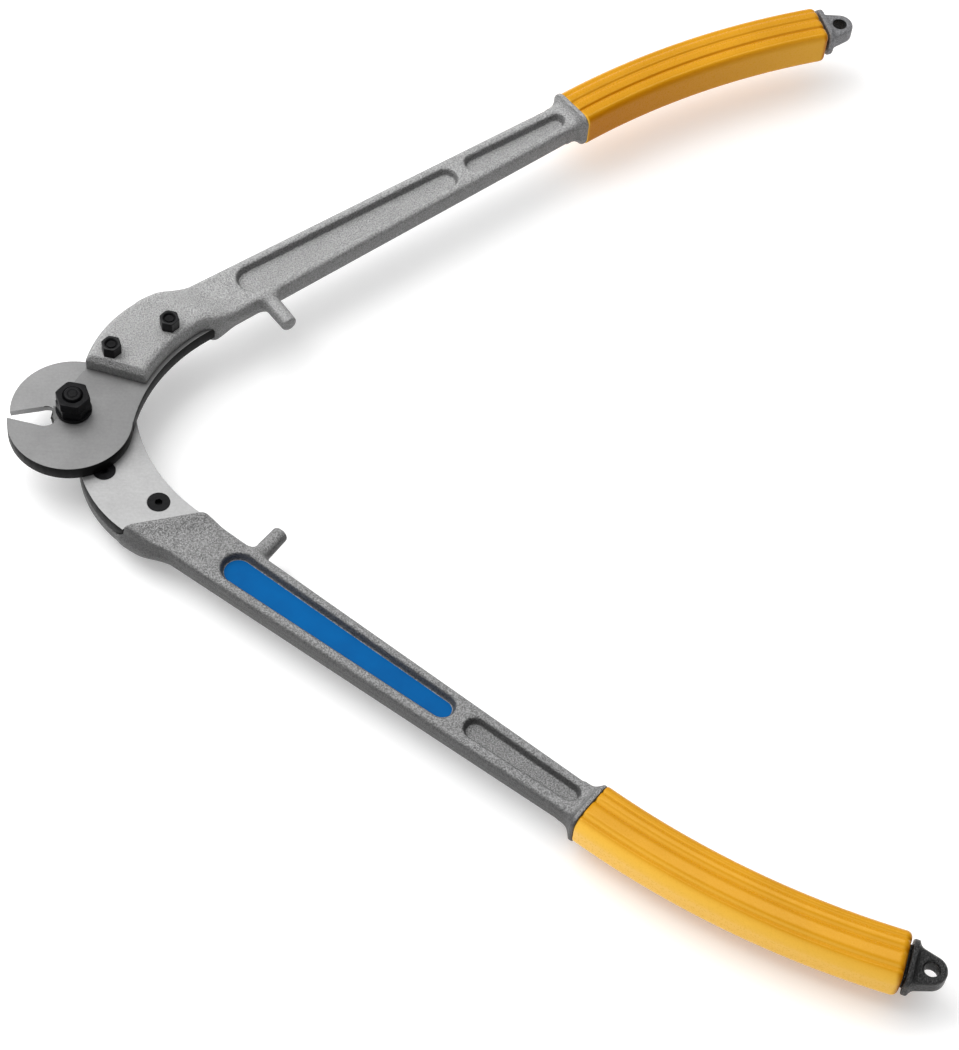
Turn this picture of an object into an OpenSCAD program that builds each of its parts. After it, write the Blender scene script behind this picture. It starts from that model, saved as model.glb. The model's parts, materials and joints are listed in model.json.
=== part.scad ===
// Long-handled wire-rope cutter: two cast handles, each with a bolted-on hook blade,
// turning on one pivot bolt.  Both arms are made of the same parts; one is turned over.
// Frame: origin on the pivot axis, in the plane where the blades slide on each other,
// Z along the axis and the handles towards +X.  Each arm is drawn in its own frame:
// X along the arm, +Y outwards, Z=0 on the sliding face and the casting on the +Z side.

/* [Arms] */
// Half of the angle between the arms in the modelled pose (degrees)
half_open = 36; // [8:0.5:48]
// Height of the casting's parting plane above the sliding face
mid_z = 6.8; // [6.5:0.1:7.2]

/* [Blade] */
// Thickness of a blade
blade_t = 8.3; // [7:0.1:9]
// Radius of the round hook of the blade
jaw_r = 34.3; // [33.5:0.2:35.1]
// Radius of the blade around the pivot, on its open side
hub_r = 10.6; // [10:0.2:12]
// Slope of the cutting edge in the arm frame (degrees)
edge_angle = 40.5; // [38:0.5:43]
// Radius of the mouth's root at the cutting edge
root_r = 4.4; // [4:0.1:4.6]
// How far the edge grind runs back over the blade's thickness
grind = 3.4; // [1:0.1:3.6]
// Play between the two blades
blade_gap = 0.1; // [0.06:0.02:0.2]

/* [Casting] */
// Height of the head plate's top above the sliding face
plate_top = 18.3; // [17:0.1:20]
// Height of the handle bar's top above the sliding face
bar_top = 13.6; // [13:0.2:15]
// How far the bar stands proud of the blade's sliding face
land = 0.6; // [0.2:0.1:0.8]
// Outer edge of the bar, from the arm axis
bar_outer = 37.6; // [37:0.2:38.4]
// Inner edge of the bar at the blade's end
bar_inner_start = 5.2; // [4.4:0.2:6]
// Inner edge of the bar at the grip
bar_inner_end = 15.4; // [13:0.2:17]
// Depth of the pockets in the bar's faces
pocket_depth = 5; // [3:0.2:5.4]
// Distance from the pivot to the closing stop
stop_x = 133.5; // [128:0.5:138]
// How far the closing stop reaches past the arm axis
stop_reach = 14; // [10:0.5:16]
// Diameter of the hanging hole
hole_d = 8; // [6:0.5:9]
// Thickness of the hanging lug
lug_t = 10; // [8:0.5:12]

/* [Grip] */
// Where the grip starts along the arm
grip_x = 365; // [362:1:368]
// Width of the grip
grip_w = 30; // [28:0.2:32]
// Thickness of the grip
grip_t = 23.4; // [22:0.2:25]
// Length of the grip along its curve
grip_l = 176.3; // [170:0.1:182]
// Radius of the grip's curve
grip_curve_r = 480; // [450:1:600]
// Outward lean of the grip where it leaves the bar (degrees)
grip_lean = 2.1; // [0:0.1:3]

/* [Fasteners] */
// Diameter of the pivot bolt's plain shank
pivot_d = 14; // [13:0.5:15]
// Radial play of the blades on the pivot bolt
pivot_play = 0.05; // [0.02:0.01:0.09]
// Thread diameter of the pivot bolt
thread_d = 10; // [8:1:11]
// Width across flats of the two pivot nuts
nut_af = 17; // [16:0.5:19]
// Height of each pivot nut
nut_h = 5.9; // [5:0.1:8]
// Thread diameter of the blade screws
screw_d = 6; // [5:0.5:6]
// Diameter of the blade screws' countersunk heads
head_d = 12.6; // [11:0.2:13]
// Width across flats of the blade screws' nuts
screw_nut_af = 10; // [9:0.5:11]
// Height of the blade screws' nuts
screw_nut_h = 7; // [5:0.5:8]

/* [Hidden] */
$fn = 96;

slip = 0.05;                 // play between parts that are clamped together
cut = 1;                     // how far a cutting shape overshoots a face
far = 80;                    // larger than the head, for cutting shapes
blade_z = blade_gap / 2;     // height of a blade's sliding face
blade_top = blade_z + blade_t;
plate_z = blade_top + slip;  // underside of the head plate

// head outlines, in the arm frame
jaw_c = [-5.1, -4.3];        // centre of the round hook
outer_c = [70.6, -31.7];     // centre of the head's outer arc
outer_r = 72.7;
inner_c = [96, -95.7];       // centre of the neck's inner arc
inner_r = 102;
inner_inset = 1.5;           // how far the casting stays inside the blade's inner edge
front_a = [20.8, 21.5];      // front end of the head plate: outer corner
front_b = [43.7, -8.1];      // and inner corner
blade_end_a = [68.5, 40];    // rear end of the blade: outer corner
blade_end_b = [96, 6.5];     // and inner corner
step_a = [87.5, 41];         // foot of the slope from the head plate to the bar
step_b = [106.5, 6.5];       // outer and inner corner
chamfer = 3.6;               // height of the bevel on the head plate's front end
front_screw = [35.2, 16.8];
rear_screw = [71.8, 14.8];
root_c = [-15.1, 6.1];       // centre of the mouth's root

// bar
collar_l = 9;
bar_end = grip_x - collar_l;
inner_x = 97;                // where the bar's straight inner edge starts
bar_y = (bar_outer + bar_inner_end) / 2;
long_a = [132.5, 22];        // ends of the long pocket and their radii
long_ra = 8.3;
long_b = [269, 24.3];
long_rb = 5.9;
short_a = [291, 25];         // ends of the short pocket and their radii
short_ra = 5;
short_b = [351.5, 25.8];
short_rb = 3.8;
label_margin = 0.5;
label_t = 0.4;
stop_r = 5;

// grip, tang and lug
grip_y = bar_y + 0.4;        // the grip sits a little further out than the bar
grip_corner = 7;
groove_places = [-6, 1.6, 7];  // across the grip's upper face
groove_r = 1.4;
groove_depth = 0.7;
tang_w = 20;
tang_t = 11;
rim_w = grip_w + 0.4;
rim_t = grip_t + 0.4;
rim_h = 2;
flange_gap = 1.6;
flange_w = 27;
flange_t = 19.5;
flange_h = 3;
flange_corner = 6;
lug_r = 8.2;
hole_u = 13.2;               // from the grip's end to the hanging hole

// fasteners
head_h = (head_d - screw_d) / 2;
seat_play = 0.3;
socket_af = 4;
socket_depth = 3;
screw_len = plate_top + screw_nut_h - 0.8;
bolt_head_af = 19;
bolt_head_h = 6.5;
washer_d = 20;
washer_t = 1.6;
washer_z = blade_top + blade_gap;
nut_z = washer_z + washer_t;
bolt_end = nut_z + 2 * nut_h + slip + 1.2;

steel_grey = [0.70, 0.70, 0.69];
cast_grey = [0.60, 0.60, 0.60];
black_oxide = [0.12, 0.12, 0.12];
grip_yellow = [0.93, 0.66, 0.12];
label_blue = [0.02, 0.42, 0.69];

// slot whose two round ends have different radii
module taper_slot(p, rp, q, rq) hull() {
    translate(p) circle(rp, $fn = 48);
    translate(q) circle(rq, $fn = 48);
}

// rectangle with round corners, centred
module round_rect(w, h, r) {
    square([w - 2 * r, h], center = true);
    square([w, h - 2 * r], center = true);
    for (x = [-1, 1], y = [-1, 1])
        translate([x * (w / 2 - r), y * (h / 2 - r)]) circle(r);
}

module hex_prism(af, h) cylinder(d = af / cos(30), h = h, $fn = 6);

// hexagon with both ends turned to a bevel, as nuts and bolt heads have
module turned_hex(af, h, both = true) {
    corner = af / cos(30) / 2;
    bevel = 0.9;
    intersection() {
        hex_prism(af, h);
        rotate_extrude() polygon([[0, 0], [both ? corner - bevel : corner, 0],
            [corner, both ? bevel / 2 : 0], [corner, h - bevel / 2], [corner - bevel, h], [0, h]]);
    }
}

// lays a profile across the arm and extrudes it along +X
module along_x(x, l) translate([x, 0, 0]) rotate([90, 0, 90]) linear_extrude(l) children();

// the two places of an arm: upper as drawn, lower turned over
module upper() rotate([0, 0, half_open]) children();
module lower() rotate([0, 0, -half_open]) rotate([180, 0, 0]) children();

// ---- blade ----

module neck_outline() {
    neck_turn = -36.7;       // direction from the hook's centre to where the neck leaves it
    neck_start = jaw_c + (jaw_r - slip) * [cos(neck_turn), sin(neck_turn)];
    difference() {
        intersection() {
            translate(outer_c) circle(outer_r, $fn = 180);
            polygon([[0, 0], neck_start, [60, -40], [blade_end_b[0], 0], blade_end_b,
                blade_end_a, blade_end_a + [0, far], [0, far]]);
        }
        translate(inner_c) circle(inner_r, $fn = 240);
    }
}

module blade_outline() {
    corner = norm(front_a);
    hub_turn = atan2(front_a[1], front_a[0]) + acos(hub_r / corner);
    tangent = (hub_r - slip) * [cos(hub_turn), sin(hub_turn)];
    mouth_way = [-sin(edge_angle), cos(edge_angle)];
    difference() {
        union() {
            translate(jaw_c) circle(jaw_r, $fn = 180);
            neck_outline();
        }
        // open side of the blade, from the mouth round to the head plate
        polygon([root_c, root_c + far * mouth_way, [-far, far], front_a + [-far / 4, far],
            front_a, tangent]);
    }
    circle(hub_r);
}

// mouth with its ground cutting edge, wider away from the sliding face
module mouth() {
    slope = grind / blade_t;
    translate([root_c[0], root_c[1], 0]) {
        translate([0, 0, -cut])
            cylinder(r1 = root_r - slope * cut, r2 = root_r + grind + slope * cut,
                h = blade_t + 2 * cut);
        rotate([0, 0, edge_angle]) translate([slip - root_r, 0, 0]) rotate([0, -atan(slope), 0])
            translate([0, 0, -far / 2]) cube([far / 4, far, far]);
    }
}

module screw_seat(at) {
    translate([at[0], at[1], -cut]) cylinder(d = screw_d + seat_play, h = blade_t + 2 * cut);
    translate([at[0], at[1], -cut]) cylinder(d = head_d + seat_play, h = cut);
    translate([at[0], at[1], 0])
        cylinder(d1 = head_d + seat_play, d2 = screw_d + seat_play, h = head_h);
}

module blade() {
    color(steel_grey) translate([0, 0, blade_z]) difference() {
        linear_extrude(blade_t) blade_outline();
        mouth();
        translate([0, 0, -cut]) cylinder(d = pivot_d + 2 * pivot_play, h = blade_t + 2 * cut);
        screw_seat(front_screw);
        screw_seat(rear_screw);
    }
}

// ---- cast handle ----

// head plate over the blade, from its front end to past the step
module plate_outline() {
    difference() {
        intersection() {
            translate(outer_c) circle(outer_r, $fn = 180);
            polygon([front_a - [4, 0], front_a, front_b, [60, -20], [110, -6], step_b, step_a,
                step_a + [0, far], front_a + [-4, far]]);
        }
        translate(inner_c) circle(inner_r + inner_inset, $fn = 240);
    }
}

// bar from the blade's end to the collar
module bar_outline() {
    gap = [0.3, 0.3];
    intersection() {
        translate(outer_c) circle(outer_r - slip, $fn = 180);
        polygon([blade_end_a + gap, blade_end_b + gap, [inner_x, bar_inner_start], step_b + [4, 0],
            step_a + [2, 0]]);
    }
    polygon([blade_end_b + gap, [inner_x, bar_inner_start], [bar_end, bar_inner_end],
        [bar_end, bar_outer], [blade_end_a[0] + 6, bar_outer]]);
}

// cuts a long sloping face over the edge from a to b, at height z
module slope_cut(a, b, z, angle) {
    turn = atan2(b[1] - a[1], b[0] - a[0]);
    translate([a[0], a[1], z]) rotate([0, 0, turn]) rotate([angle, 0, 0])
        translate([-far / 2, -far, 0]) cube([2 * far, 2 * far, far / 2]);
}

module head_plate() {
    difference() {
        translate([0, 0, plate_z]) linear_extrude(plate_top - plate_z) plate_outline();
        slope_cut(front_a, front_b, plate_top - chamfer, 52);
        slope_cut(step_b, step_a, bar_top - 0.4, 40);
        for (at = [front_screw, rear_screw]) translate([at[0], at[1], 0])
            cylinder(d = screw_d + seat_play, h = plate_top + cut);
    }
}

module pockets(depth) linear_extrude(depth) {
    taper_slot(long_a, long_ra, long_b, long_rb);
    taper_slot(short_a, short_ra, short_b, short_rb);
}

module bar() {
    difference() {
        translate([0, 0, -land]) linear_extrude(bar_top + land) bar_outline();
        translate([0, 0, bar_top - pocket_depth]) pockets(pocket_depth + cut);
        translate([0, 0, -land - cut]) pockets(pocket_depth + cut);
    }
}

// bumper that meets the other arm's bumper when the cutter is closed
module stop() {
    inner_edge = bar_inner_start + (bar_inner_end - bar_inner_start)
        * (stop_x - inner_x) / (bar_end - inner_x);
    translate([stop_x, inner_edge + 1, mid_z]) rotate([90, 0, 0]) rotate_extrude()
        polygon([[0, 0], [stop_r + 1.6, 0], [stop_r + 1.6, 1], [stop_r + 0.5, 3.5],
            [stop_r, 7], [stop_r - 0.3, inner_edge + stop_reach - 0.5],
            [stop_r - 1.8, inner_edge + stop_reach + 1], [0, inner_edge + stop_reach + 1]]);
}

// flare from the bar's section to the rim that the grip butts against
module collar() {
    inset = 1;
    hull() {
        translate([0, bar_y, (bar_top - land) / 2]) along_x(bar_end - inset, inset)
            square([bar_outer - bar_inner_end - 2 * inset, bar_top + land - inset],
                center = true);
        rim(rim_w - inset, rim_t - inset, rim_h / 4, $fn = 32);
    }
    rim(rim_w, rim_t, rim_h);
}

module rim(w, h, l) at_grip_start() along_x(-rim_h, l) round_rect(w, h, grip_corner);

// angle that a length along the grip's curve turns through
function turn(l) = l / grip_curve_r * 180 / PI;

module at_grip_start() translate([grip_x, grip_y, mid_z]) rotate([0, 0, grip_lean]) children();

module at_grip_end() at_grip_start() translate([0, -grip_curve_r, 0])
    rotate([0, 0, -turn(grip_l)]) translate([0, grip_curve_r, 0]) children();

// sweeps a profile along the grip's curve, between two distances from the grip's start
module sweep_grip(from, to) at_grip_start() translate([0, -grip_curve_r, 0])
    rotate([0, 0, 90 - turn(to)]) rotate_extrude(angle = turn(to - from), $fn = 180)
        translate([grip_curve_r, 0]) children();

module lug_outline() hull() {
    translate([flange_gap + flange_h - 0.5, 0]) square([0.5, flange_w - 4], center = true);
    translate([hole_u, 0]) circle(lug_r, $fn = 48);
}

module tang_and_lug() {
    sweep_grip(-cut, grip_l + flange_gap + cut) square([tang_w, tang_t], center = true);
    at_grip_end() difference() {
        union() {
            along_x(flange_gap, flange_h) round_rect(flange_w, flange_t, flange_corner);
            translate([0, 0, -lug_t / 2]) linear_extrude(lug_t) lug_outline();
        }
        translate([hole_u, 0, -lug_t]) cylinder(d = hole_d, h = 2 * lug_t);
    }
}

module handle() color(cast_grey) {
    head_plate();
    bar();
    stop();
    collar();
    tang_and_lug();
}

// ---- grip and label ----

// shallow grooves run along both flat faces; half a turn about the middle swaps the faces
module grip_profile() {
    difference() {
        round_rect(grip_w, grip_t, grip_corner);
        square([tang_w + 2 * slip, tang_t + 2 * slip], center = true);
        for (x = groove_places, side = [-1, 1])
            translate([side * x, side * (grip_t / 2 + groove_r - groove_depth)])
                circle(groove_r, $fn = 24);
    }
}

module grip() color(grip_yellow) sweep_grip(slip, grip_l) grip_profile();

module label() color(label_blue)
    translate([0, 0, pocket_depth - land - label_t]) linear_extrude(label_t - slip)
        taper_slot(long_a, long_ra - label_margin, long_b, long_rb - label_margin);

// ---- fasteners ----

module blade_screw(at) color(black_oxide) translate([at[0], at[1], blade_z]) {
    difference() {
        union() {
            cylinder(d1 = head_d, d2 = screw_d, h = head_h);
            cylinder(d = screw_d, h = screw_len - 0.8);
            cylinder(d = screw_d - 1.2, h = screw_len);
        }
        translate([0, 0, -cut]) hex_prism(socket_af, socket_depth + cut);
    }
}

module blade_nut(at) color(black_oxide)
    translate([at[0], at[1], plate_top + slip]) difference() {
        intersection() {
            rotate([0, 0, 12]) hex_prism(screw_nut_af, screw_nut_h);
            cylinder(r1 = screw_nut_af / 2 + screw_nut_h + 0.3, r2 = screw_nut_af / 2 + 0.3,
                h = screw_nut_h);
        }
        translate([0, 0, -cut]) cylinder(d = screw_d + 2 * slip, h = screw_nut_h + 2 * cut);
    }

module pivot_bolt() color(black_oxide) {
    translate([0, 0, -blade_top - slip - bolt_head_h])
        turned_hex(bolt_head_af, bolt_head_h);
    translate([0, 0, -blade_top - slip - cut])
        cylinder(d = pivot_d, h = blade_top + slip + cut + washer_z);
    rotate_extrude() polygon([[0, 0], [thread_d / 2, 0], [thread_d / 2, bolt_end - 1.4],
        [thread_d / 2 - 1, bolt_end - 0.3], [thread_d / 2 - 1.5, bolt_end], [0, bolt_end]]);
}

module pivot_washer() color(black_oxide) translate([0, 0, washer_z + slip]) difference() {
    cylinder(d = washer_d, h = washer_t - slip);
    translate([0, 0, -cut]) cylinder(d = thread_d + 0.5, h = washer_t + 2 * cut);
}

module pivot_nut(z, turn) color(black_oxide) translate([0, 0, z + slip]) difference() {
    rotate([0, 0, turn]) turned_hex(nut_af, nut_h - slip);
    translate([0, 0, -cut]) cylinder(d = thread_d + 2 * slip, h = nut_h + 2 * cut);
}

lower() handle();  // lower_handle
upper() handle();  // upper_handle
lower() blade();  // lower_blade
upper() blade();  // upper_blade
lower() grip();  // lower_grip
upper() grip();  // upper_grip
lower() label();  // lower_label
pivot_bolt();
pivot_washer();
pivot_nut(nut_z, -3);  // adjusting_nut
pivot_nut(nut_z + nut_h, -10);  // lock_nut
lower() blade_screw(front_screw);  // lower_front_screw
lower() blade_screw(rear_screw);  // lower_rear_screw
upper() blade_screw(front_screw);  // upper_front_screw
upper() blade_screw(rear_screw);  // upper_rear_screw
lower() blade_nut(front_screw);  // lower_front_nut
lower() blade_nut(rear_screw);  // lower_rear_nut
upper() blade_nut(front_screw);  // upper_front_nut
upper() blade_nut(rear_screw);  // upper_rear_nut
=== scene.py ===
"""Looks of the long-handled wire-rope cutter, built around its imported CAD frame.

Shapes are drawn in millimetres in an arm's own frame: X along the arm, +Y outwards, Z=0 on
the sliding face of the blade and the casting on the +Z side.  place() puts them on a body.
"""
import json
import math

import bpy
import numpy as np
from mathutils import Matrix, Vector


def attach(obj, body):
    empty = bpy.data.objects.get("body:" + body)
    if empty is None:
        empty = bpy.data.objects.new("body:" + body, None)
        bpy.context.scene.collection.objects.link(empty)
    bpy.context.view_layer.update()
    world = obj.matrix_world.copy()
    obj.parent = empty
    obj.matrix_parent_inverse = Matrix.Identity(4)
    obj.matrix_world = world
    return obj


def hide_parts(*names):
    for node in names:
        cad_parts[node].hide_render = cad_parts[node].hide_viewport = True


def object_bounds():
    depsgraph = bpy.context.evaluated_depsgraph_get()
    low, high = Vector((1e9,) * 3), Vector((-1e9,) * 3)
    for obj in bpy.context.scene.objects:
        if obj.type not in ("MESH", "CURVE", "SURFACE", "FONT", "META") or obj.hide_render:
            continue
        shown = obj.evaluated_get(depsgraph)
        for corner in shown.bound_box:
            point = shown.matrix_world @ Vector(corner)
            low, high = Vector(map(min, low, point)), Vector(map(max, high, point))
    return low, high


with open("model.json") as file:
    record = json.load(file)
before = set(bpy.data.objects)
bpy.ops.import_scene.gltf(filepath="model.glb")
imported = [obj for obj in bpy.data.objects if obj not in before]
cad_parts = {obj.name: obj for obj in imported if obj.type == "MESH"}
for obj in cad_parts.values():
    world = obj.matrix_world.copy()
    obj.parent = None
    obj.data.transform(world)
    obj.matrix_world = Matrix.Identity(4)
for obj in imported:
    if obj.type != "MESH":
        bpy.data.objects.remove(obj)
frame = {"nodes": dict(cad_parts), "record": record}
cad_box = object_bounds()

MM = 0.001
ARMS = ("upper", "lower")

# heights above the sliding face
PLATE_Z, PLATE_TOP = 8.4, 18.3       # head plate
BAR_LOW, BAR_TOP = -0.6, 13.6        # handle bar
MID_Z = 6.8                          # parting plane of the casting
BAR_MID = (BAR_LOW + BAR_TOP) / 2
BAR_HALF = (BAR_TOP - BAR_LOW) / 2
DRAFT = 0.02                         # how much the bar's walls lean in per millimetre of height
SEAM_PROUD, SEAM_W = 0.12, 0.45      # raised seam on the parting plane

# head outlines
OUTER_C, OUTER_R = (70.6, -31.7), 72.7
INNER_C, INNER_R = (96.0, -95.7), 104.2
FRONT_A, FRONT_B = (20.8, 21.5), (43.7, -8.1)
BLADE_END_A, BLADE_END_B = (68.8, 40.3), (96.3, 6.8)
STEP_A, STEP_B = (87.5, 41.0), (106.5, 6.5)
STEP_ANGLE, BEVEL_ANGLE = math.radians(40), math.radians(52)
STEP_DROP, BEVEL_H = 0.4, 3.6        # foot of the step below the bar's top, height of the front bevel
SCREWS = {"front": (35.2, 16.8), "rear": (71.8, 14.8)}

# bar, pockets and stop
BAR_OUTER, BAR_FROM = 37.6, 80
BAR_INNER_A, BAR_INNER_B = (97.0, 5.2), (356.0, 15.4)
POCKETS = (((132.5, 22.0), 8.3, (269.0, 24.3), 5.9), ((291.0, 25.0), 5.0, (351.5, 25.8), 3.8))
WEB_HALF = 2.1                       # half of the web left between two pockets
POCKET_DRAFT = 0.28                  # how much the pockets widen per millimetre of height
POCKET_LEAN = math.cos(math.atan(POCKET_DRAFT))
LIP_H, LIP_W = 3.4, 11.0             # ridge where the bar's lower face meets the blade
STOP_X, STOP_TIP, STOP_ROOT, STOP_R = 133.5, -14.0, 12.0, 4.9
STOP_TAPER = 0.25                    # how much thinner the stop is at its tip
MARK_C, MARK_R = (105.5, 21.5), 12.5  # round casting mark on the bar's lower face
MARK_DEEP, MARK_LINE = 0.3, 0.8      # its groove: depth and half width

# rounded edges and fillets of the casting
SHARP = 0.3
HEAD_OUTER_EDGE, HEAD_INNER_EDGE, STEP_EDGE, FRONT_EDGE = 4.5, 5.0, 3.0, 0.35
BAR_OUTER_EDGE, BAR_INNER_EDGE, BAR_END_EDGE, BAR_KINK = 4.0, 3.6, 0.6, 1.5
POCKET_FLOOR, POCKET_LIP = 1.2, 1.6
HEAD_FILLET, STOP_FILLET, COLLAR_FILLET, LUG_FILLET = 6.0, 5.0, 1.5, 3.0
STOP_EDGE, COLLAR_EDGE, FLANGE_EDGE, LUG_EDGE, TANG_EDGE = 1.8, 0.5, 0.8, 1.8, 1.0
HOLE_EDGE, HOLE_FLARE = 0.4, 0.9

# collar in front of the grip
COLLAR_HALF_L, COLLAR_NECK = 6.0, 11.1   # half its length, half width where it leaves the bar
COLLAR_CORNER, COLLAR_SHIFT = 6.5, 0.3   # corner at the rim, offset from the grip at the neck
SWELL_FROM, SWELL_L, SWELL_POWER = -10.5, 8.5, 2.2

# grip, its curve and the lug behind it
GRIP_X, GRIP_Y = 365.0, 26.9
GRIP_R, GRIP_L = 480.0, 176.3
BAR_TO = GRIP_X - 4
GRIP_LEAN = math.radians(2.1)
GRIP_W, GRIP_T = 30.0, 23.4
OUTER_CORNER, INNER_CORNER = 8.0, 4.5
# flutes along the grip's two flat faces: place across, depth, half width
FLUTES_ABOVE = ((-6.0, 1.4, 1.0), (1.6, 1.1, 1.4), (8.8, 1.0, 1.4))
FLUTES_BELOW = ((-9.0, 0.8, 0.8), (-2.5, 1.2, 1.4), (8.5, 1.2, 1.5))
TANG_W, TANG_T = 20.0, 11.0
RIM_OVER = 0.4                       # how much wider the collar's rim is than the grip
FLANGE = (1.6, 4.6, 27.0, 19.5, 6.0)  # from, to, width, thickness, corner radius
HOLE_U, HOLE_R, LUG_R, LUG_HALF = 13.2, 4.0, 8.2, 5.0

# fasteners
NUT_AF, NUT_H, THREAD_D = 17.0, 5.9, 10.0
NUT_Z = 10.05                        # underside of the adjusting nut
BOLT_HEAD_AF, BOLT_HEAD = 19.0, (-14.9, -8.4)
SCREW_NUT_AF, SCREW_NUT_H, SCREW_NUT_BORE, SCREW_HOLE_R = 10.0, 7.0, 3.05, 3.15
BOLT_SHANK_R, BOLT_END = 7.0, NUT_Z + 2 * NUT_H + 1.25
SHANK_TOP, THREAD_FROM = NUT_Z - 1.6, 5.0
THREAD_PITCH, THREAD_DEEP = 1.5, 0.288
GROOVE_R, GROOVE_HALF, GROOVE_DEEP = 2.6, 0.22, 0.3  # ring turned into the bolt's end
NO_BORE = -50.0
CHAMFER_ANGLE, CHAMFER_IN = math.radians(27), 0.9  # chamfered corners of the nuts and head
GAP = 0.05                           # clearance between stacked pieces


# ---- distance fields, negative inside ----

def meet(a, b, r=0.0):
    """Overlap of two shapes, its edge rounded to radius r."""
    return np.minimum(np.maximum(a, b), -r) + np.hypot(np.maximum(a + r, 0), np.maximum(b + r, 0))


def join(a, b, r):
    """Union of two shapes with a fillet of radius r."""
    return np.maximum(np.minimum(a, b), r) - np.hypot(np.maximum(r - a, 0), np.maximum(r - b, 0))


def carve(a, b, r=0.0):
    return meet(a, -b, r)


def beside(x, y, a, b):
    """Distance from the line a-b, positive on its right-hand side."""
    dx, dy = b[0] - a[0], b[1] - a[1]
    return ((x - a[0]) * dy - (y - a[1]) * dx) / math.hypot(dx, dy)


def disc(x, y, c, r):
    return np.hypot(x - c[0], y - c[1]) - r


def slot_shape(x, y, a, ra, b, rb):
    """Slot from a to b whose round ends have radii ra and rb."""
    dx, dy = b[0] - a[0], b[1] - a[1]
    t = np.clip(((x - a[0]) * dx + (y - a[1]) * dy) / (dx * dx + dy * dy), 0, 1)
    return np.hypot(x - a[0] - t * dx, y - a[1] - t * dy) - (ra + t * (rb - ra))


def round_rect(u, w, half_u, half_w, r):
    qu, qw = np.abs(u) - (half_u - r), np.abs(w) - (half_w - r)
    return np.hypot(np.maximum(qu, 0), np.maximum(qw, 0)) + np.minimum(np.maximum(qu, qw), 0) - r


def ramp(x, low, high):
    t = np.clip((x - low) / (high - low), 0, 1)
    return t * t * (3 - 2 * t)


# ---- the curve of the grip ----

CURVE_C = (GRIP_X + GRIP_R * math.sin(GRIP_LEAN), GRIP_Y - GRIP_R * math.cos(GRIP_LEAN))
END_LEAN = GRIP_LEAN - GRIP_L / GRIP_R


def on_curve(s, v):
    """Point at distance s along the grip's curve and v outwards from it."""
    lean = GRIP_LEAN - s / GRIP_R
    return CURVE_C[0] - (GRIP_R + v) * np.sin(lean), CURVE_C[1] + (GRIP_R + v) * np.cos(lean)


def along_curve(x, y):
    """(s, v) of a point: on_curve() undone."""
    dx, dy = x - CURVE_C[0], y - CURVE_C[1]
    return GRIP_R * (GRIP_LEAN + np.arctan2(dx, dy)), np.hypot(dx, dy) - GRIP_R


def past_grip(x, y):
    """(u, v) of a point measured from the grip's end, u along the arm there."""
    ex, ey = on_curve(GRIP_L, 0)
    c, s = math.cos(END_LEAN), math.sin(END_LEAN)
    return (x - ex) * c + (y - ey) * s, (y - ey) * c - (x - ex) * s


# ---- the casting ----

def head_field(x, y, z):
    outer = disc(x, y, OUTER_C, OUTER_R)
    inner = -disc(x, y, INNER_C, INNER_R)
    front = -beside(x, y, FRONT_B, FRONT_A)
    past_step = -beside(x, y, STEP_A, STEP_B)
    top = z - PLATE_TOP
    slope = past_step * math.sin(STEP_ANGLE) + (z - BAR_TOP + STEP_DROP) * math.cos(STEP_ANGLE)
    bevel = front * math.sin(BEVEL_ANGLE) + (z - PLATE_TOP + BEVEL_H) * math.cos(BEVEL_ANGLE)
    body = meet(outer, meet(top, slope, STEP_EDGE), HEAD_OUTER_EDGE)
    body = meet(body, inner, HEAD_INNER_EDGE)
    body = meet(body, meet(front, bevel, SHARP), FRONT_EDGE)
    return meet(body, PLATE_Z - z, SHARP)


def bar_field(x, y, z):
    tilt = np.abs(z - MID_Z) * DRAFT - SEAM_PROUD * np.exp(-((z - MID_Z) / SEAM_W) ** 2)
    mark = MARK_DEEP * np.exp(-(disc(x, y, MARK_C, MARK_R) / MARK_LINE) ** 2) * (z < BAR_MID)
    blade_end = beside(x, y, BLADE_END_A, BLADE_END_B)
    lip = LIP_H * (1 - ramp(-blade_end, 0, LIP_W))
    slab = np.maximum(z - BAR_TOP, BAR_LOW - lip - z) + mark
    straight = np.maximum(y - BAR_OUTER, BAR_FROM - x)
    outer = join(disc(x, y, OUTER_C, OUTER_R), straight, BAR_KINK) + tilt
    inner = beside(x, y, BAR_INNER_A, BAR_INNER_B) + tilt
    body = meet(meet(outer, slab, BAR_OUTER_EDGE), inner, BAR_INNER_EDGE)
    body = meet(body, blade_end, BAR_END_EDGE)
    return np.maximum(body, x - BAR_TO)


def stop_field(x, y, z):
    r = STOP_R - STOP_TAPER * ramp(-y, 0, -STOP_TIP)
    ends = np.maximum(STOP_TIP - y, y - STOP_ROOT)
    return meet(np.hypot(x - STOP_X, z - MID_Z) - r, ends, STOP_EDGE)


def collar_field(x, y, z):
    """Collar that swells from the bar's section to the grip's."""
    s, v = along_curve(x, y)
    t = np.clip((s - SWELL_FROM) / SWELL_L, 0, 1) ** SWELL_POWER
    half_w = COLLAR_NECK + (GRIP_W / 2 + RIM_OVER / 2 - COLLAR_NECK) * t
    half_t = BAR_HALF + (GRIP_T / 2 + RIM_OVER / 2 - BAR_HALF) * t
    corner = BAR_OUTER_EDGE + (COLLAR_CORNER - BAR_OUTER_EDGE) * t
    shift = COLLAR_SHIFT * (1 - t)
    across = round_rect(v + shift, z - MID_Z + shift, half_w, half_t, corner)
    return meet(across, np.abs(s + COLLAR_HALF_L) - COLLAR_HALF_L, COLLAR_EDGE)


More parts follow.
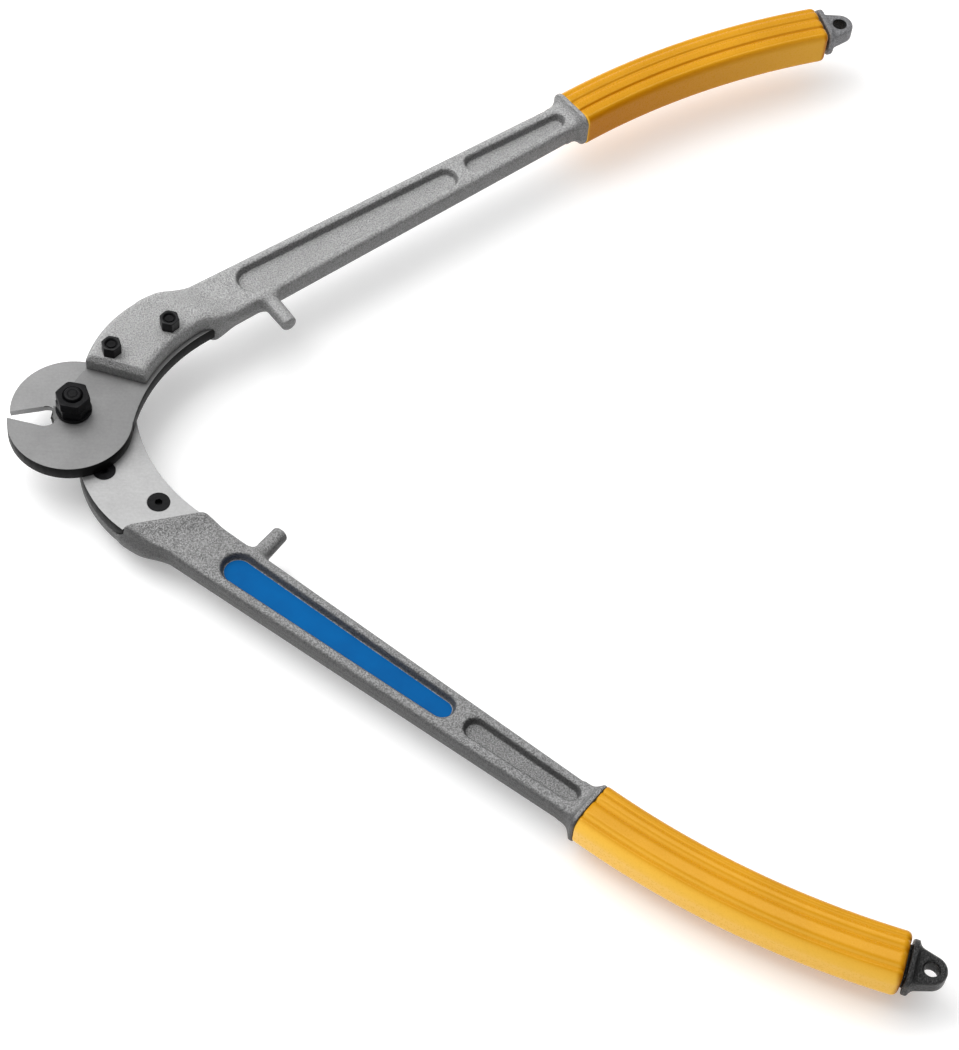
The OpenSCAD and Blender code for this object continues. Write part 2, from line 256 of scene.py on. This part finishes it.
def lug_field(x, y, z):
    u, v = past_grip(x, y)
    w = z - MID_Z
    start, stop, wide, thick, corner = FLANGE
    flange = meet(round_rect(v, w, wide / 2, thick / 2, corner),
                  np.abs(u - (start + stop) / 2) - (stop - start) / 2, FLANGE_EDGE)
    # straight sides run from the flange to touch the round end
    foot_u, foot_v = stop - 0.5, wide / 2 - 2
    reach = math.hypot(foot_u - HOLE_U, foot_v)
    lean = math.atan2(foot_v, foot_u - HOLE_U) - math.acos(LUG_R / reach)
    c, s = math.cos(lean), math.sin(lean)
    side = (u - HOLE_U) * c + np.abs(v) * s - LUG_R
    past = (u - HOLE_U) * s - np.abs(v) * c
    outline = np.where(past > 0, np.hypot(u - HOLE_U, v) - LUG_R, side)
    outline = np.maximum(outline, start + 0.6 - u)
    lug = join(flange, meet(outline, np.abs(w) - LUG_HALF, LUG_EDGE), LUG_FILLET)
    flare = np.maximum(np.abs(w) - LUG_HALF + HOLE_FLARE, 0)
    lug = carve(lug, np.hypot(u - HOLE_U, v) - HOLE_R - flare, HOLE_EDGE)
    s_along, v_curve = along_curve(x, y)
    tang = np.maximum(round_rect(v_curve, w, TANG_W / 2, TANG_T / 2, TANG_EDGE),
                      np.maximum(-3 - s_along, s_along - GRIP_L - start - 1))
    return np.minimum(tang, lug)


def casting_field(x, y, z):
    body = join(head_field(x, y, z), bar_field(x, y, z), HEAD_FILLET)
    body = join(body, stop_field(x, y, z), STOP_FILLET)
    body = join(body, collar_field(x, y, z), COLLAR_FILLET)
    for a, ra, b, rb in POCKETS:
        above_web = np.abs(z - BAR_MID) - WEB_HALF
        slot = (slot_shape(x, y, a, ra, b, rb) - POCKET_DRAFT * above_web) * POCKET_LEAN
        body = carve(body, meet(slot, -above_web, POCKET_FLOOR), POCKET_LIP)
    for at in SCREWS.values():
        body = carve(body, np.maximum(disc(x, y, at, SCREW_HOLE_R), PLATE_Z - 1 - z))
    return np.minimum(body, lug_field(x, y, z))


# ---- meshes ----

def surface_net(field, low, high, step):
    """Vertices and faces of the zero surface of a field, in a box with cubic cells."""
    low = np.array(low, float)
    count = np.ceil((np.array(high) - low) / step).astype(int) + 1
    grid = np.meshgrid(*[low[i] + step * np.arange(count[i]) for i in range(3)],
                       indexing="ij", sparse=True)
    value = np.broadcast_to(field(*grid), count)
    inside = value < 0
    corners = [(i, j, k) for i in (0, 1) for j in (0, 1) for k in (0, 1)]
    total = sum(inside[i:count[0] - 1 + i, j:count[1] - 1 + j, k:count[2] - 1 + k].astype(np.int8)
                for i, j, k in corners)
    cells = np.argwhere((total > 0) & (total < 8))
    number = np.full(count, -1)
    number[tuple(cells.T)] = np.arange(len(cells))
    points, crossings = np.zeros((len(cells), 3)), np.zeros(len(cells))
    for a in corners:
        for axis in range(3):
            if a[axis]:
                continue
            b = tuple(a[i] + (i == axis) for i in range(3))
            va, vb = value[tuple((cells + a).T)], value[tuple((cells + b).T)]
            cut = (va < 0) != (vb < 0)
            t = np.where(cut, va / np.where(cut, va - vb, 1), 0)
            point = cells + np.array(a, float)
            point[:, axis] += t
            points += point * cut[:, None]
            crossings += cut
    points = low + step * points / crossings[:, None]
    nudge = step / 8
    for _ in range(2):  # pull the vertices onto the surface itself
        here = field(*points.T)
        slope = np.stack([field(*(points + nudge * e).T) - field(*(points - nudge * e).T)
                          for e in np.eye(3)], 1) / (2 * nudge)
        move = slope * (here / np.maximum((slope ** 2).sum(1), 0.25))[:, None]
        points -= np.clip(move, -step / 2, step / 2)
    faces = []
    for axis in range(3):
        u, v = np.eye(3, dtype=int)[[(axis + 1) % 3, (axis + 2) % 3]]
        ahead = np.roll(inside, -1, axis)
        edges = np.argwhere(inside != ahead)
        edges = edges[(edges[:, axis] < count[axis] - 1)
                      & (edges @ u > 0) & (edges @ v > 0)]
        around = (edges, edges - u, edges - u - v, edges - v)
        quad = np.stack([number[tuple(cell.T)] for cell in around], 1)
        keep = (quad >= 0).all(1)
        out = inside[tuple(edges.T)]
        faces.append(np.where(out[:, None], quad, quad[:, ::-1])[keep])
    return points, np.concatenate(faces)


def hanging_hole(arm):
    """Middle of an arm's hanging hole, from the record."""
    return next(m["pos_m"] for m in frame["record"]["mounts"] if m["name"] == arm + "_hanging_hole")


def arm_angle(arm):
    """Angle of an arm to +X."""
    at = hanging_hole(arm)
    ex, ey = on_curve(GRIP_L, 0)
    hx, hy = ex + HOLE_U * math.cos(END_LEAN), ey + HOLE_U * math.sin(END_LEAN)
    side = 1 if arm == "upper" else -1
    return math.atan2(at[1], at[0]) - side * math.atan2(hy, hx)


def place(arm):
    """Matrix from the arm's frame in millimetres to the row frame in metres."""
    turned = Matrix.Rotation(math.pi if arm == "lower" else 0, 4, "X")
    return Matrix.Rotation(arm_angle(arm), 4, "Z") @ turned @ Matrix.Scale(MM, 4)


def piece(name, verts, faces, matrix, body, material, slot, *nodes):
    """A new mesh object, in place, riding on its body and standing for CAD nodes."""
    mesh = bpy.data.meshes.new(name)
    mesh.from_pydata(np.asarray(verts).tolist(), [], [[int(i) for i in f] for f in faces])
    mesh.transform(matrix)
    mesh.polygons.foreach_set("use_smooth", [True] * len(mesh.polygons))
    mesh.materials.append(material)
    mesh.update()
    obj = bpy.data.objects.new(name, mesh)
    bpy.context.scene.collection.objects.link(obj)
    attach(obj, body)
    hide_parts(*nodes)
    return obj


def loft(loops):
    """Faces of a tube through loops of equally many points, closed into a ring of loops."""
    loops = np.asarray(loops)
    rows, n = loops.shape[:2]
    i, j = np.meshgrid(np.arange(rows), np.arange(n), indexing="ij")
    nxt, side = (i + 1) % rows, (j + 1) % n
    quads = np.stack([i * n + j, i * n + side, nxt * n + side, nxt * n + j], -1).reshape(-1, 4)
    return loops.reshape(-1, 3), quads


# ---- grips ----

def rounded_outline(half_w, half_t, r_out, r_in, spacing=0.45):
    """Closed outline with its outward normals; r_out rounds the +v corners, r_in the others."""
    points = []
    for sign_v, sign_w, start, r in ((1, 1, 0, r_out), (-1, 1, 90, r_in),
                                     (-1, -1, 180, r_in), (1, -1, 270, r_out)):
        steps = max(4, int(math.radians(90) * r / spacing))
        for k in range(steps + 1):
            a = math.radians(start + 90 * k / steps)
            points.append((sign_v * (half_w - r) + r * math.cos(a),
                           sign_w * (half_t - r) + r * math.sin(a), math.cos(a), math.sin(a)))
    dense = []
    for p, q in zip(points, points[1:] + points[:1]):
        steps = max(1, int(math.hypot(q[0] - p[0], q[1] - p[1]) / spacing))
        for k in range(steps):
            t = k / steps
            dense.append([p[i] + t * (q[i] - p[i]) for i in range(4)])
    return np.array(dense)


def grip_outline(inset):
    """Section of the grip with its shallow flutes, drawn in by inset."""
    shape = rounded_outline(GRIP_W / 2, GRIP_T / 2, OUTER_CORNER, INNER_CORNER)
    v, w, nv, nw = shape.T
    depth = np.zeros(len(v))
    for flutes, face in ((FLUTES_ABOVE, w > 0), (FLUTES_BELOW, w < 0)):
        for at, deep, half in flutes:
            depth += face * deep * np.exp(-((v - at) / half) ** 2) * np.abs(nw)
    return np.stack([v - nv * (depth + inset), w - nw * (depth + inset)], 1)


def grip_mesh():
    """Grip lofted along its curve and back through the passage for the tang."""
    start_r, end_r, steps = 1.0, 3.5, 7
    stations = [(GAP + start_r * (1 - math.cos(math.radians(90 * k / steps))),
                 start_r * (1 - math.sin(math.radians(90 * k / steps)))) for k in range(steps)]
    for s in np.arange(2.0, GRIP_L - end_r, 2.0):
        stations.append((s, 0.0))
    for k in range(steps + 1):
        a = math.radians(90 * k / steps)
        stations.append((GRIP_L - end_r * (1 - math.sin(a)), end_r * (1 - math.cos(a))))
    loops = []
    for s, inset in stations:
        section = grip_outline(inset)
        x, y = on_curve(s, section[:, 0])
        loops.append(np.stack([x, y, MID_Z + section[:, 1]], 1))
    turn = np.arctan2(grip_outline(0)[:, 1], grip_outline(0)[:, 0])
    reach = 1 / np.maximum(np.abs(np.cos(turn)) / (TANG_W / 2 + GAP),
                           np.abs(np.sin(turn)) / (TANG_T / 2 + GAP))
    for s in np.linspace(GRIP_L, GAP, 40):
        x, y = on_curve(s, reach * np.cos(turn))
        loops.append(np.stack([x, y, MID_Z + reach * np.sin(turn)], 1))
    verts, quads = loft(loops)
    return verts, quads[:, ::-1]


# ---- nuts and bolt ----

def hex_distance(x, y, af, turn):
    flats = []
    for degrees in (30, 90, 150):
        a = math.radians(turn + degrees)
        flats.append(np.abs(x * math.cos(a) + y * math.sin(a)) - af / 2)
    return meet(meet(flats[0], flats[1], 0.25), flats[2], 0.25)


def nut_field(af, low, high, turn, bore, top_only=False):
    """Field of a hexagon nut; top_only leaves its lower corners unchamfered."""
    corner = af / math.cos(math.radians(30)) / 2
    sine, cosine = math.sin(CHAMFER_ANGLE), math.cos(CHAMFER_ANGLE)

    def field(x, y, z):
        r = np.hypot(x, y)
        past_corner = (r - corner + CHAMFER_IN) * sine
        body = meet(hex_distance(x, y, af, turn), meet(z - high, low - z), 0.15)
        body = meet(body, past_corner + (z - high) * cosine, 0.2)
        if not top_only:
            body = meet(body, past_corner + (low - z) * cosine, 0.2)
        sink = np.maximum(np.maximum(z - high + 0.8, low + 0.8 - z), 0)
        return carve(body, r - bore - sink, 0.1)
    return field


def bolt_field(x, y, z):
    """Pivot bolt: turned hexagon head below, plain shank, thread and a rounded end."""
    r = np.hypot(x, y)
    shank = np.maximum(r - BOLT_SHANK_R, np.maximum(z - SHANK_TOP, BOLT_HEAD[1] - 1 - z))
    turns = z / THREAD_PITCH - np.arctan2(y, x) / (2 * math.pi)
    ridge = THREAD_DEEP * np.abs(turns % 1 - 0.5) * 2
    thread = np.maximum(meet(r - THREAD_D / 2 + ridge, z - BOLT_END, 1.0), THREAD_FROM - z)
    groove = np.maximum(np.abs(r - GROOVE_R) - GROOVE_HALF, BOLT_END - GROOVE_DEEP - z)
    thread = carve(thread, groove, 0.1)
    head = nut_field(BOLT_HEAD_AF, *BOLT_HEAD, 0, NO_BORE)(x, y, z)
    return np.minimum(np.minimum(shank, thread), head)


# ---- materials ----

def grey(level):
    return (level, level, level)


class Nodes:
    """Short notation for building a material's node tree."""

    def __init__(self, name):
        self.material = bpy.data.materials.new(name)
        self.material.use_nodes = True
        self.tree = self.material.node_tree
        self.shader = self.tree.nodes["Principled BSDF"]
        coords = self.tree.nodes.new("ShaderNodeTexCoord")
        self.place = coords.outputs["Object"]
        self.normal = self.tree.nodes.new("ShaderNodeNewGeometry").outputs["Normal"]

    def link(self, value, socket):
        if isinstance(value, bpy.types.NodeSocket):
            self.tree.links.new(value, socket)
        else:
            socket.default_value = value

    def noise(self, scale, detail=4.0, rough=0.6, stretch=(1, 1, 1), turn=0.0):
        mapping = self.tree.nodes.new("ShaderNodeMapping")
        mapping.inputs["Scale"].default_value = stretch
        mapping.inputs["Rotation"].default_value = (0, 0, turn)
        self.tree.links.new(self.place, mapping.inputs["Vector"])
        node = self.tree.nodes.new("ShaderNodeTexNoise")
        node.inputs["Scale"].default_value = scale
        node.inputs["Detail"].default_value = detail
        node.inputs["Roughness"].default_value = rough
        self.tree.links.new(mapping.outputs["Vector"], node.inputs["Vector"])
        return node.outputs["Fac"]

    def span(self, value, low, high, to_low=0.0, to_high=1.0, smooth=False):
        node = self.tree.nodes.new("ShaderNodeMapRange")
        node.interpolation_type = "SMOOTHSTEP" if smooth else "LINEAR"
        self.link(value, node.inputs["Value"])
        for name, number in (("From Min", low), ("From Max", high),
                             ("To Min", to_low), ("To Max", to_high)):
            self.link(number, node.inputs[name])
        return node.outputs["Result"]

    def math(self, kind, a, b=0.0):
        node = self.tree.nodes.new("ShaderNodeMath")
        node.operation = kind
        self.link(a, node.inputs[0])
        self.link(b, node.inputs[1])
        return node.outputs["Value"]

    def mix(self, share, a, b):
        node = self.tree.nodes.new("ShaderNodeMix")
        node.data_type = "RGBA"
        self.link(share, node.inputs["Factor"])
        for value, socket in ((a, node.inputs[6]), (b, node.inputs[7])):
            self.link(value if isinstance(value, bpy.types.NodeSocket) else (*value, 1), socket)
        return node.outputs[2]

    def upright(self):
        """0 on walls, 1 on faces that look along the pivot axis."""
        split = self.tree.nodes.new("ShaderNodeSeparateXYZ")
        self.tree.links.new(self.normal, split.inputs["Vector"])
        return self.math("ABSOLUTE", split.outputs["Z"])

    def along(self, axis):
        """Coordinate of the point on one axis of the row frame, in metres."""
        split = self.tree.nodes.new("ShaderNodeSeparateXYZ")
        self.tree.links.new(self.place, split.inputs["Vector"])
        return split.outputs[axis]

    def around(self, centre):
        """Distance in plan from a point of the row frame, in metres."""
        flat, gap = (self.tree.nodes.new("ShaderNodeVectorMath") for _ in range(2))
        flat.operation, gap.operation = "MULTIPLY", "DISTANCE"
        flat.inputs[1].default_value = (1, 1, 0)
        gap.inputs[1].default_value = (centre[0], centre[1], 0)
        self.tree.links.new(self.place, flat.inputs[0])
        self.tree.links.new(flat.outputs["Vector"], gap.inputs[0])
        return gap.outputs["Value"]

    def facing(self, way):
        """Cosine between the surface normal and a direction."""
        dot = self.tree.nodes.new("ShaderNodeVectorMath")
        dot.operation = "DOT_PRODUCT"
        self.tree.links.new(self.normal, dot.inputs[0])
        dot.inputs[1].default_value = way
        return dot.outputs["Value"]

    def finish(self, colour, metallic, rough, height=None, deep=0.0001, strength=1.0, **more):
        self.link(colour if isinstance(colour, bpy.types.NodeSocket) else (*colour, 1),
                  self.shader.inputs["Base Color"])
        self.link(metallic, self.shader.inputs["Metallic"])
        self.link(rough, self.shader.inputs["Roughness"])
        for name, value in more.items():
            self.link(value, self.shader.inputs[name.replace("_", " ")])
        if height is not None:
            bump = self.tree.nodes.new("ShaderNodeBump")
            bump.inputs["Distance"].default_value = deep
            bump.inputs["Strength"].default_value = strength
            self.tree.links.new(height, bump.inputs["Height"])
            self.tree.links.new(bump.outputs["Normal"], self.shader.inputs["Normal"])
        return self.material


def cast_metal(name, light, dark, wall, lug, lug_rough, hole):
    """Sand-cast aluminium: fine speckle, walls painted darker as painted shade; the lug has its own
    tone, and its hole is painted black as painted shade.
    """
    n = Nodes(name)
    grain = n.noise(1150, 2, 0.65)
    blotch = n.noise(90, 3, 0.5)
    face = n.mix(n.span(grain, 0.36, 0.64), dark, light)
    face = n.mix(n.span(blotch, 0.3, 0.7, 0.0, 0.2), face, dark)
    # painted shade: faces that don't look along the pivot axis get the darker wall tone
    level = n.span(n.upright(), 0.55, 0.9, smooth=True)
    walls = n.mix(n.span(grain, 0.36, 0.64), [c * 0.5 for c in wall], wall)
    behind_grip = n.span(n.along("X"), 0.36, 0.38)
    end = n.mix(n.span(grain, 0.36, 0.64), [c * 0.5 for c in lug], lug)
    # painted shade: the hanging hole's wall is painted black
    end = n.mix(n.span(n.around(hole), (HOLE_R + 0.2) * MM, (HOLE_R + 0.5) * MM), (0, 0, 0), end)
    rough = n.span(behind_grip, 0, 1, n.span(grain, 0.3, 0.7, 0.38, 0.52), lug_rough)
    return n.finish(n.mix(behind_grip, n.mix(level, walls, face), end), 0.45, rough,
                    grain, 0.0012, 0.9)


def ground_metal(name, neck, jaw, side, turn):
    """Steel blade: ground faces with faint streaks, painted darker towards the jaw as painted shade;
    black-finished sides.
    """
    n = Nodes(name)
    streak = n.noise(900, 3, 0.6, stretch=(0.08, 1, 1), turn=turn)
    grain = n.noise(600, 3, 0.6)
    cloud = n.noise(45, 3, 0.5)
    # painted shade: the face tone goes from the neck's to the darker jaw's as Y rises
    face = n.mix(n.span(n.along("Y"), -0.035, 0.0, smooth=True), neck, jaw)
    face = n.mix(n.span(streak, 0.3, 0.7, 0.0, 0.05), face, (0, 0, 0))
    face = n.mix(n.span(grain, 0.3, 0.7, 0.0, 0.12), face, (0, 0, 0))
    face = n.mix(n.span(cloud, 0.35, 0.7, 0.0, 0.14), face, (0, 0, 0))
    level = n.span(n.upright(), 0.25, 0.42, smooth=True)
    return n.finish(n.mix(level, side, face), n.span(level, 0, 1, 0.0, 0.5),
                    n.span(streak, 0.3, 0.7, 0.38, 0.46), streak, 0.00003, 0.4,
                    Specular_IOR_Level=n.span(level, 0, 1, 0.06, 0.5))


def black_metal(name, gloss):
    """Black-oxidised steel with faint oily variation."""
    n = Nodes(name)
    grain = n.noise(500, 4, 0.6)
    tone = n.mix(n.span(grain, 0.35, 0.65), (0.0025, 0.0025, 0.003), (0.007, 0.007, 0.008))
    return n.finish(tone, 0.0, n.span(grain, 0.3, 0.7, 0.32, 0.45), grain, 0.00004, 0.5,
                    Specular_IOR_Level=gloss)


def grip_plastic(name, shaded, lit):
    """Yellow moulded grip: slightly mottled and glossy, with painted shade on the side facing the
    shaded direction and painted light on the side facing the lit direction.
    """
    n = Nodes(name)
    fine = n.noise(900, 3, 0.6)
    cloud = n.noise(25, 2, 0.5)
    tone = n.mix(n.span(cloud, 0.35, 0.65), (0.60, 0.262, 0.002), (0.67, 0.30, 0.004))
    # painted shade: surfaces facing the shaded direction are painted deeper orange and reflect less;
    # painted light: surfaces facing the lit direction are painted paler
    tone = n.mix(n.span(n.facing(shaded), 0.3, 0.9, smooth=True), tone, (0.50, 0.17, 0.0))
    tone = n.mix(n.span(n.facing(lit), 0.2, 0.9, smooth=True), tone, (0.95, 0.54, 0.07))
    return n.finish(tone, 0.0, n.span(fine, 0.3, 0.7, 0.25, 0.32), fine, 0.00004, 0.4,
                    Specular_IOR_Level=n.span(n.facing(shaded), 0.3, 0.9, 0.42, 0.1),
                    Specular_Tint=(1.0, 0.75, 0.25, 1.0))


def label_film(name):
    """Plain blue printed film."""
    n = Nodes(name)
    cloud = n.noise(60, 3, 0.5)
    tone = n.mix(n.span(cloud, 0.3, 0.7), (0.0, 0.095, 0.31), (0.0, 0.115, 0.36))
    return n.finish(tone, 0.0, n.span(cloud, 0.3, 0.7, 0.4, 0.5), cloud, 0.00005, 0.3,
                    Specular_IOR_Level=0.03)


# Lit and shaded copies of one cast aluminium: the upper arm's tones are painted lighter and the lower
# arm's darker, its lug nearly black, as painted light and shade.
cast = {"upper": cast_metal("cast_upper", light=grey(0.49), dark=grey(0.24), wall=grey(0.28),
                            lug=(0.27, 0.27, 0.28), lug_rough=0.45, hole=hanging_hole("upper")),
        "lower": cast_metal("cast_lower", light=grey(0.39), dark=grey(0.13), wall=grey(0.13),
                            lug=grey(0.03), lug_rough=0.2, hole=hanging_hole("lower"))}
black = black_metal("black_oxide", 0.08)
oiled = black_metal("black_oiled", 0.16)
plastic = grip_plastic("grip_yellow", shaded=(0.588, -0.809, 0.0), lit=(-0.588, -0.809, 0.0))
film = label_film("label_blue")
blade_side = grey(0.004)
# Lit and shaded copies of one ground steel: the upper blade's face is painted darker than the
# lower's, and the lower blade's jaw darker than its neck, as painted shade.
blade_finish = {
    "upper": ground_metal("ground_upper", neck=grey(0.17), jaw=grey(0.17), side=blade_side,
                          turn=arm_angle("upper")),
    "lower": ground_metal("ground_lower", neck=grey(0.32), jaw=grey(0.215), side=blade_side,
                          turn=arm_angle("lower"))}

# ---- pieces ----

CAST_STEP = 0.75
cast_verts, cast_faces = surface_net(casting_field, (14, -17, -6.5), (563, 46, 19.9), CAST_STEP)
grip_verts, grip_faces = grip_mesh()
for arm in ARMS:
    body = arm + "_arm"
    piece(arm + "_casting", cast_verts, cast_faces, place(arm), body, cast[arm],
          "cast_aluminium", arm + "_handle")
    piece(arm + "_moulded_grip", grip_verts, grip_faces, place(arm), body, plastic,
          "grip_plastic", arm + "_grip")
    for which, at in SCREWS.items():
        field = nut_field(SCREW_NUT_AF, PLATE_TOP + GAP, PLATE_TOP + SCREW_NUT_H, 12,
                          SCREW_NUT_BORE, top_only=True)
        reach = SCREW_NUT_AF * 0.6
        verts, faces = surface_net(field, (-reach, -reach, PLATE_TOP - 0.4),
                                   (reach, reach, PLATE_TOP + SCREW_NUT_H + 0.4), 0.2)
        piece(f"{arm}_{which}_hex_nut", verts + np.array([*at, 0]), faces, place(arm), body, oiled,
              "black_steel", f"{arm}_{which}_nut")

row_mm = Matrix.Scale(MM, 4)
for name, under, turn in (("adjusting_nut", NUT_Z, -3), ("lock_nut", NUT_Z + NUT_H, -10)):
    low, high = under + GAP, under + NUT_H
    verts, faces = surface_net(nut_field(NUT_AF, low, high, turn, THREAD_D / 2 + GAP),
                               (-10.4, -10.4, low - 0.5), (10.4, 10.4, high + 0.5), 0.2)
    piece(name + "_turned", verts, faces, row_mm, "lower_arm", black, "black_steel", name)
verts, faces = surface_net(bolt_field, (-11.4, -11.4, -15.4), (11.4, 11.4, 24), 0.25)
piece("pivot_bolt_turned", verts, faces, row_mm, "lower_arm", black, "black_steel", "pivot_bolt")


def dress(node, material, edge):
    """Gives a CAD node its material and softly broken edges."""
    obj = frame["nodes"][node]
    obj.data.materials.clear()
    obj.data.materials.append(material)
    weld = obj.modifiers.new("weld", "WELD")
    weld.merge_threshold = 0.01 * MM
    bevel = obj.modifiers.new("edge", "BEVEL")
    bevel.width, bevel.segments = edge * MM, 2
    bevel.limit_method, bevel.angle_limit = "ANGLE", math.radians(28)
    bevel.harden_normals = True


for arm in ARMS:
    dress(arm + "_blade", blade_finish[arm], 0.25)
    for which in SCREWS:
        dress(f"{arm}_{which}_screw", black, 0.12)
dress("pivot_washer", black, 0.2)
dress("lower_label", film, 0.1)

# ---- floor, lights and camera ----

FLOOR_Z = -0.028                     # metres, just under the lowest nuts


def floor():
    size = 4.0
    mesh = bpy.data.meshes.new("floor")
    mesh.from_pydata([(-size, -size, FLOOR_Z), (size, -size, FLOOR_Z), (size, size, FLOOR_Z),
                      (-size, size, FLOOR_Z)], [], [(0, 1, 2, 3)])
    n = Nodes("floor_white")
    n.finish((0.93, 0.93, 0.93), 0.0, n.span(n.noise(3), 0.3, 0.7, 0.5, 0.6),
             Emission_Color=(1, 1, 1, 1), Emission_Strength=0.18)
    mesh.materials.append(n.material)
    obj = bpy.data.objects.new("floor", mesh)
    bpy.context.scene.collection.objects.link(obj)


def area_light(name, at, size, watts, target):
    data = bpy.data.lights.new(name, "AREA")
    data.shape, data.size, data.size_y, data.energy = "RECTANGLE", size[0], size[1], watts
    obj = bpy.data.objects.new(name, data)
    obj.location = at
    obj.rotation_euler = (Vector(target) - Vector(at)).to_track_quat("-Z", "Y").to_euler()
    bpy.context.scene.collection.objects.link(obj)
    return obj


floor()
lowest, highest = Vector(cad_box[0]), Vector(cad_box[1])
middle = (lowest + highest) / 2
area_light("key", middle + Vector((-0.9, 0.5, 1.5)), (1.6, 1.6), 22, middle)
strip = area_light("strip", middle + Vector((-0.1, 0.45, 1.6)), (2.4, 0.1), 18, middle)
strip.visible_diffuse = False        # only for the thin highlights along the ribs


def studio_world():
    """White surroundings that fall off to dark on the front right."""
    world = bpy.data.worlds.new("studio")
    world.use_nodes = True
    tree = world.node_tree
    tree.nodes["Background"].inputs["Color"].default_value = (1, 1, 1, 1)
    coords = tree.nodes.new("ShaderNodeTexCoord")
    towards = tree.nodes.new("ShaderNodeVectorMath")
    towards.operation = "DOT_PRODUCT"
    towards.inputs[1].default_value = Vector((-0.45, 0.35, 0.82)).normalized()
    tree.links.new(coords.outputs["Generated"], towards.inputs[0])
    fall = tree.nodes.new("ShaderNodeMapRange")
    fall.interpolation_type = "SMOOTHSTEP"
    for name, number in (("From Min", -0.2), ("From Max", 0.8), ("To Min", 0.12), ("To Max", 1.0)):
        fall.inputs[name].default_value = number
    tree.links.new(towards.outputs["Value"], fall.inputs["Value"])
    tree.links.new(fall.outputs["Result"], tree.nodes["Background"].inputs["Strength"])
    bpy.context.scene.world = world


studio_world()
bpy.context.scene.view_settings.view_transform = "Standard"

# the camera looks down on the cutter's middle, from just left of the -Y side
ELEVATION, AZIMUTH, ROLL = math.radians(54.234), math.radians(-5.454), math.radians(6.473)
DISTANCE, LENS_MM = 1.59299, 100.68
back = Vector((math.sin(AZIMUTH) * math.cos(ELEVATION),
               -math.cos(AZIMUTH) * math.cos(ELEVATION), math.sin(ELEVATION)))
level = Vector((math.cos(AZIMUTH), math.sin(AZIMUTH), 0))
upward = back.cross(level)
across = level * math.cos(ROLL) + upward * math.sin(ROLL)
upright = upward * math.cos(ROLL) - level * math.sin(ROLL)
camera = bpy.data.objects.new("camera", bpy.data.cameras.new("camera"))
camera.data.lens, camera.data.sensor_width = LENS_MM, 36.0
aim = Vector((0.22322, -0.06193, 0.0))
camera.matrix_world = Matrix.Translation(aim + back * DISTANCE) @ Matrix(
    (across, upright, back)).transposed().to_4x4()
bpy.context.scene.collection.objects.link(camera)
bpy.context.scene.camera = camera
